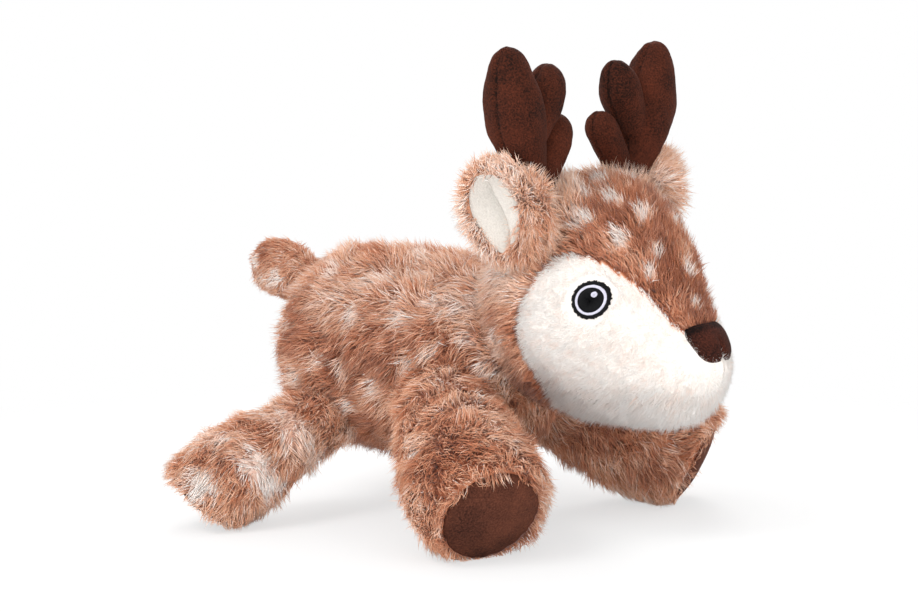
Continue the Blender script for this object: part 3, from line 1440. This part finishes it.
for word, side in SIDES:
    ear(word, side)
    lining(word, side)


# Antlers

# The tines are fused this much too slim and filled out afterwards, so that two that lie close
# don't run together at their tips
ANTLER_SLIM = 0.0012
# The voxels that they are fused with, the rounds of easing, and how far apart the puckers are
ANTLER_VOXEL = 0.0010
ANTLER_EASING = 16
PUCKER_LENGTH = 0.0042


def tines(side, crown):
    """The beam, the middle tine and the brow tine, from a point on the crown."""

    def at(back, out, above):
        return np.array((crown[0] - back, crown[1] + side * out, crown[2] + above))

    def on_beam(back, out, above):
        return at(back * BEAM_LEAN_BACK, out * BEAM_SPLAY, above * BEAM_RISE)

    def tine(spine, rows, radius):
        return Form(spine, round_rows(rows), (radius,) * 3, (False, True), (1, 0, 0))

    def inner(rows, root, bend, radius, lean, inset, rise):
        back, out, above = bend
        out *= BEAM_SPLAY if out > 0 else inset
        spine = on_beam(*root), at(back * lean, out, above * rise), at(lean, -inset, rise)
        return tine(spine, rows, radius)

    root = at(0, -ANTLER_ROOT_DEPTH * BEAM_ROOT_SHARE, -ANTLER_ROOT_DEPTH)
    beam = (root, on_beam(*BEAM_BEND_SHARES), on_beam(1, 1, 1))
    middle = (MIDDLE_TINE_RADIUS, MIDDLE_TINE_LEAN_BACK, MIDDLE_TINE_INSET, MIDDLE_TINE_RISE)
    brow = (BROW_TINE_RADIUS, BROW_TINE_LEAN_BACK, BROW_TINE_INSET, BROW_TINE_RISE)
    return (
        tine(beam, BEAM_SHARES, BEAM_RADIUS),
        inner(MIDDLE_SHARES, MIDDLE_ROOT_SHARES, MIDDLE_BEND_SHARES, *middle),
        inner(BROW_SHARES, BROW_ROOT_SHARES, BROW_BEND_SHARES, *brow),
    )


def vertex_values(mesh, key, kind):
    values = np.empty(len(mesh.vertices) * 3, kind)
    mesh.vertices.foreach_get(key, values)
    return values.reshape(-1, 3)


def antler(word, side):
    """A padded form: the three tines joined, remeshed as one skin, eased at the crotches
    and filled out again, with slack in the cloth and a puckered seam round it."""
    crown = joint_place(f"antler_{word}_seam") - (SHIFT, 0, 0)
    shells = []
    for at, form in enumerate(tines(side, crown)):
        rings = form.rings(8, 40, -ANTLER_SLIM)
        shells.append(closed_form(f"antler_shell_{word}_{at}", rings, brown_velour))
    bpy.ops.object.select_all(action="DESELECT")
    for shell in shells:
        shell.select_set(True)
    bpy.context.view_layer.objects.active = shells[0]
    bpy.ops.object.join()
    made = shells[0]
    made.name = f"antler_velour_{word}"
    fused = made.modifiers.new("fused", "REMESH")
    fused.mode = "VOXEL"
    fused.voxel_size = ANTLER_VOXEL
    fused.use_smooth_shade = True
    eased = made.modifiers.new("eased", "SMOOTH")
    eased.factor = 0.5
    eased.iterations = ANTLER_EASING
    bpy.ops.object.convert(target="MESH")
    mesh = made.data
    points = vertex_values(mesh, "co", np.float64)
    normals = vertex_values(mesh, "normal", np.float32)
    # Slack in the stuffing, and the puckers of a seam that runs round the flat outline
    slack = 0.0004 * mottle(points, 0.014, 61) + 0.0001 * mottle(points, 0.005, 62) - 0.0004
    slack = slack + ANTLER_SLIM
    seam = np.exp(-((normals[:, 0] / 0.09) ** 2))
    height = points @ np.array((0.2, 0.35 * side, 0.9))
    wave = height / PUCKER_LENGTH * 2 * np.pi + 1.5 * mottle(points, 0.02, 63)
    pucker = 0.5 + 0.5 * np.sin(wave)
    points = points + normals * (slack - seam * (0.0007 + 0.0005 * pucker))[:, None]
    mesh.vertices.foreach_set("co", points.astype(np.float32).reshape(-1))
    add_attribute(mesh, "seam", seam**3 * (0.6 + 0.4 * pucker))
    mesh.update()
    mesh.shade_smooth()
    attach(made, f"antler_{word}")
    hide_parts(f"antler_skin_{word}", f"antler_fill_{word}")


for word, side in SIDES:
    antler(word, side)


# Studio

# Each lamp's name, place, what it is aimed at, its size and its power
LAMPS = (
    ("key_light", (-0.3, -1.3, 1.5), (0, 0, 0.08), 0.9, 17),
    ("fill_light", (1.6, -0.5, 0.9), (0, 0, 0.08), 0.9, 5),
    ("low_light", (0.9, -1.3, 0.12), (0.05, 0, 0.06), 0.5, 10),
    ("rim_light", (-0.8, 1.3, 1.2), (0, 0, 0.08), 0.8, 14),
)
ROOM_LIGHT = 0.92
# The floor is shown whiter than it is lit by a share that rises from near the deer to far off
NEAR, NEAR_SHARE = 0.12, 0.62
FAR, FAR_SHARE = 0.42, 1.0
# The photograph's width and the focal length that fits it, in pixels, and the camera's sensor
PHOTO_WIDTH = 918
FOCAL_LENGTH = 2600
SENSOR = 36
CAMERA_PLACE = (0.7638, -1.0206, 0.270)
CAMERA_DIP = 7.41
CAMERA_TURN = 37.2


def backdrop():
    """A pale floor that is white where the camera sees it, apart from the deer's shadow."""
    finish = Finish("studio_white", Roughness=0.9, Base_Color=(0.86, 0.86, 0.86, 1))
    seen = finish.node("ShaderNodeLightPath", output="Is Camera Ray")
    away = finish.node("ShaderNodeVectorMath", {"operation": "LENGTH"}, {0: finish.place()}, 1)
    settings = {"interpolation_type": "SMOOTHSTEP"}
    ends = {0: away, 1: NEAR, 2: FAR, 3: NEAR_SHARE, 4: FAR_SHARE}
    share = finish.node("ShaderNodeMapRange", settings, ends)
    white = finish.node("ShaderNodeEmission", None, {"Color": WHITE, "Strength": 1.0})
    lit = Wire(finish, finish.shader.outputs[0])
    shown = finish.node("ShaderNodeMixShader", None, {0: seen * share, 1: lit, 2: white})
    finish.end_in("Material Output", shown)
    bpy.ops.mesh.primitive_plane_add(size=6)
    floor = bpy.context.object
    floor.name = "floor"
    floor.data.materials.append(finish.material)


def lamp(name, place, aim, size, power):
    light = bpy.data.lights.new(name, "AREA")
    light.shape = "DISK"
    light.size = size
    light.energy = power
    made = bpy.data.objects.new(name, light)
    made.location = place
    made.rotation_euler = (Vector(aim) - Vector(place)).to_track_quat("-Z", "Y").to_euler()
    bpy.context.scene.collection.objects.link(made)


def room():
    """Even light from all round, and plain white behind the deer where the camera sees it."""
    world = bpy.data.worlds.new("studio")
    bpy.context.scene.world = world
    world.use_nodes = True
    nodes = Nodes(world.node_tree)
    camera_ray = nodes.node("ShaderNodeLightPath", output="Is Camera Ray")
    glossy_ray = nodes.node("ShaderNodeLightPath", output="Is Glossy Ray")
    either = nodes.node("ShaderNodeMath", {"operation": "MAXIMUM"}, {0: camera_ray, 1: glossy_ray})
    light = nodes.tree.nodes["Background"]
    light.inputs["Color"].default_value = WHITE
    light.inputs["Strength"].default_value = ROOM_LIGHT
    light = Wire(nodes, light.outputs[0])
    white = nodes.node("ShaderNodeBackground", None, {"Color": WHITE, "Strength": 1.0})
    shown = nodes.node("ShaderNodeMixShader", None, {0: either, 1: light, 2: white})
    nodes.end_in("World Output", shown)


def camera():
    lens = bpy.data.cameras.new("photo_camera")
    lens.sensor_fit = "HORIZONTAL"
    lens.sensor_width = SENSOR
    lens.lens = FOCAL_LENGTH / PHOTO_WIDTH * SENSOR
    lens.clip_start = 0.01
    made = bpy.data.objects.new("photo_camera", lens)
    made.location = CAMERA_PLACE
    made.rotation_euler = (math.radians(90 - CAMERA_DIP), 0, math.radians(CAMERA_TURN))
    bpy.context.scene.collection.objects.link(made)
    bpy.context.scene.camera = made


backdrop()
for settings in LAMPS:
    lamp(*settings)
room()
bpy.context.scene.view_settings.view_transform = "Standard"
camera()
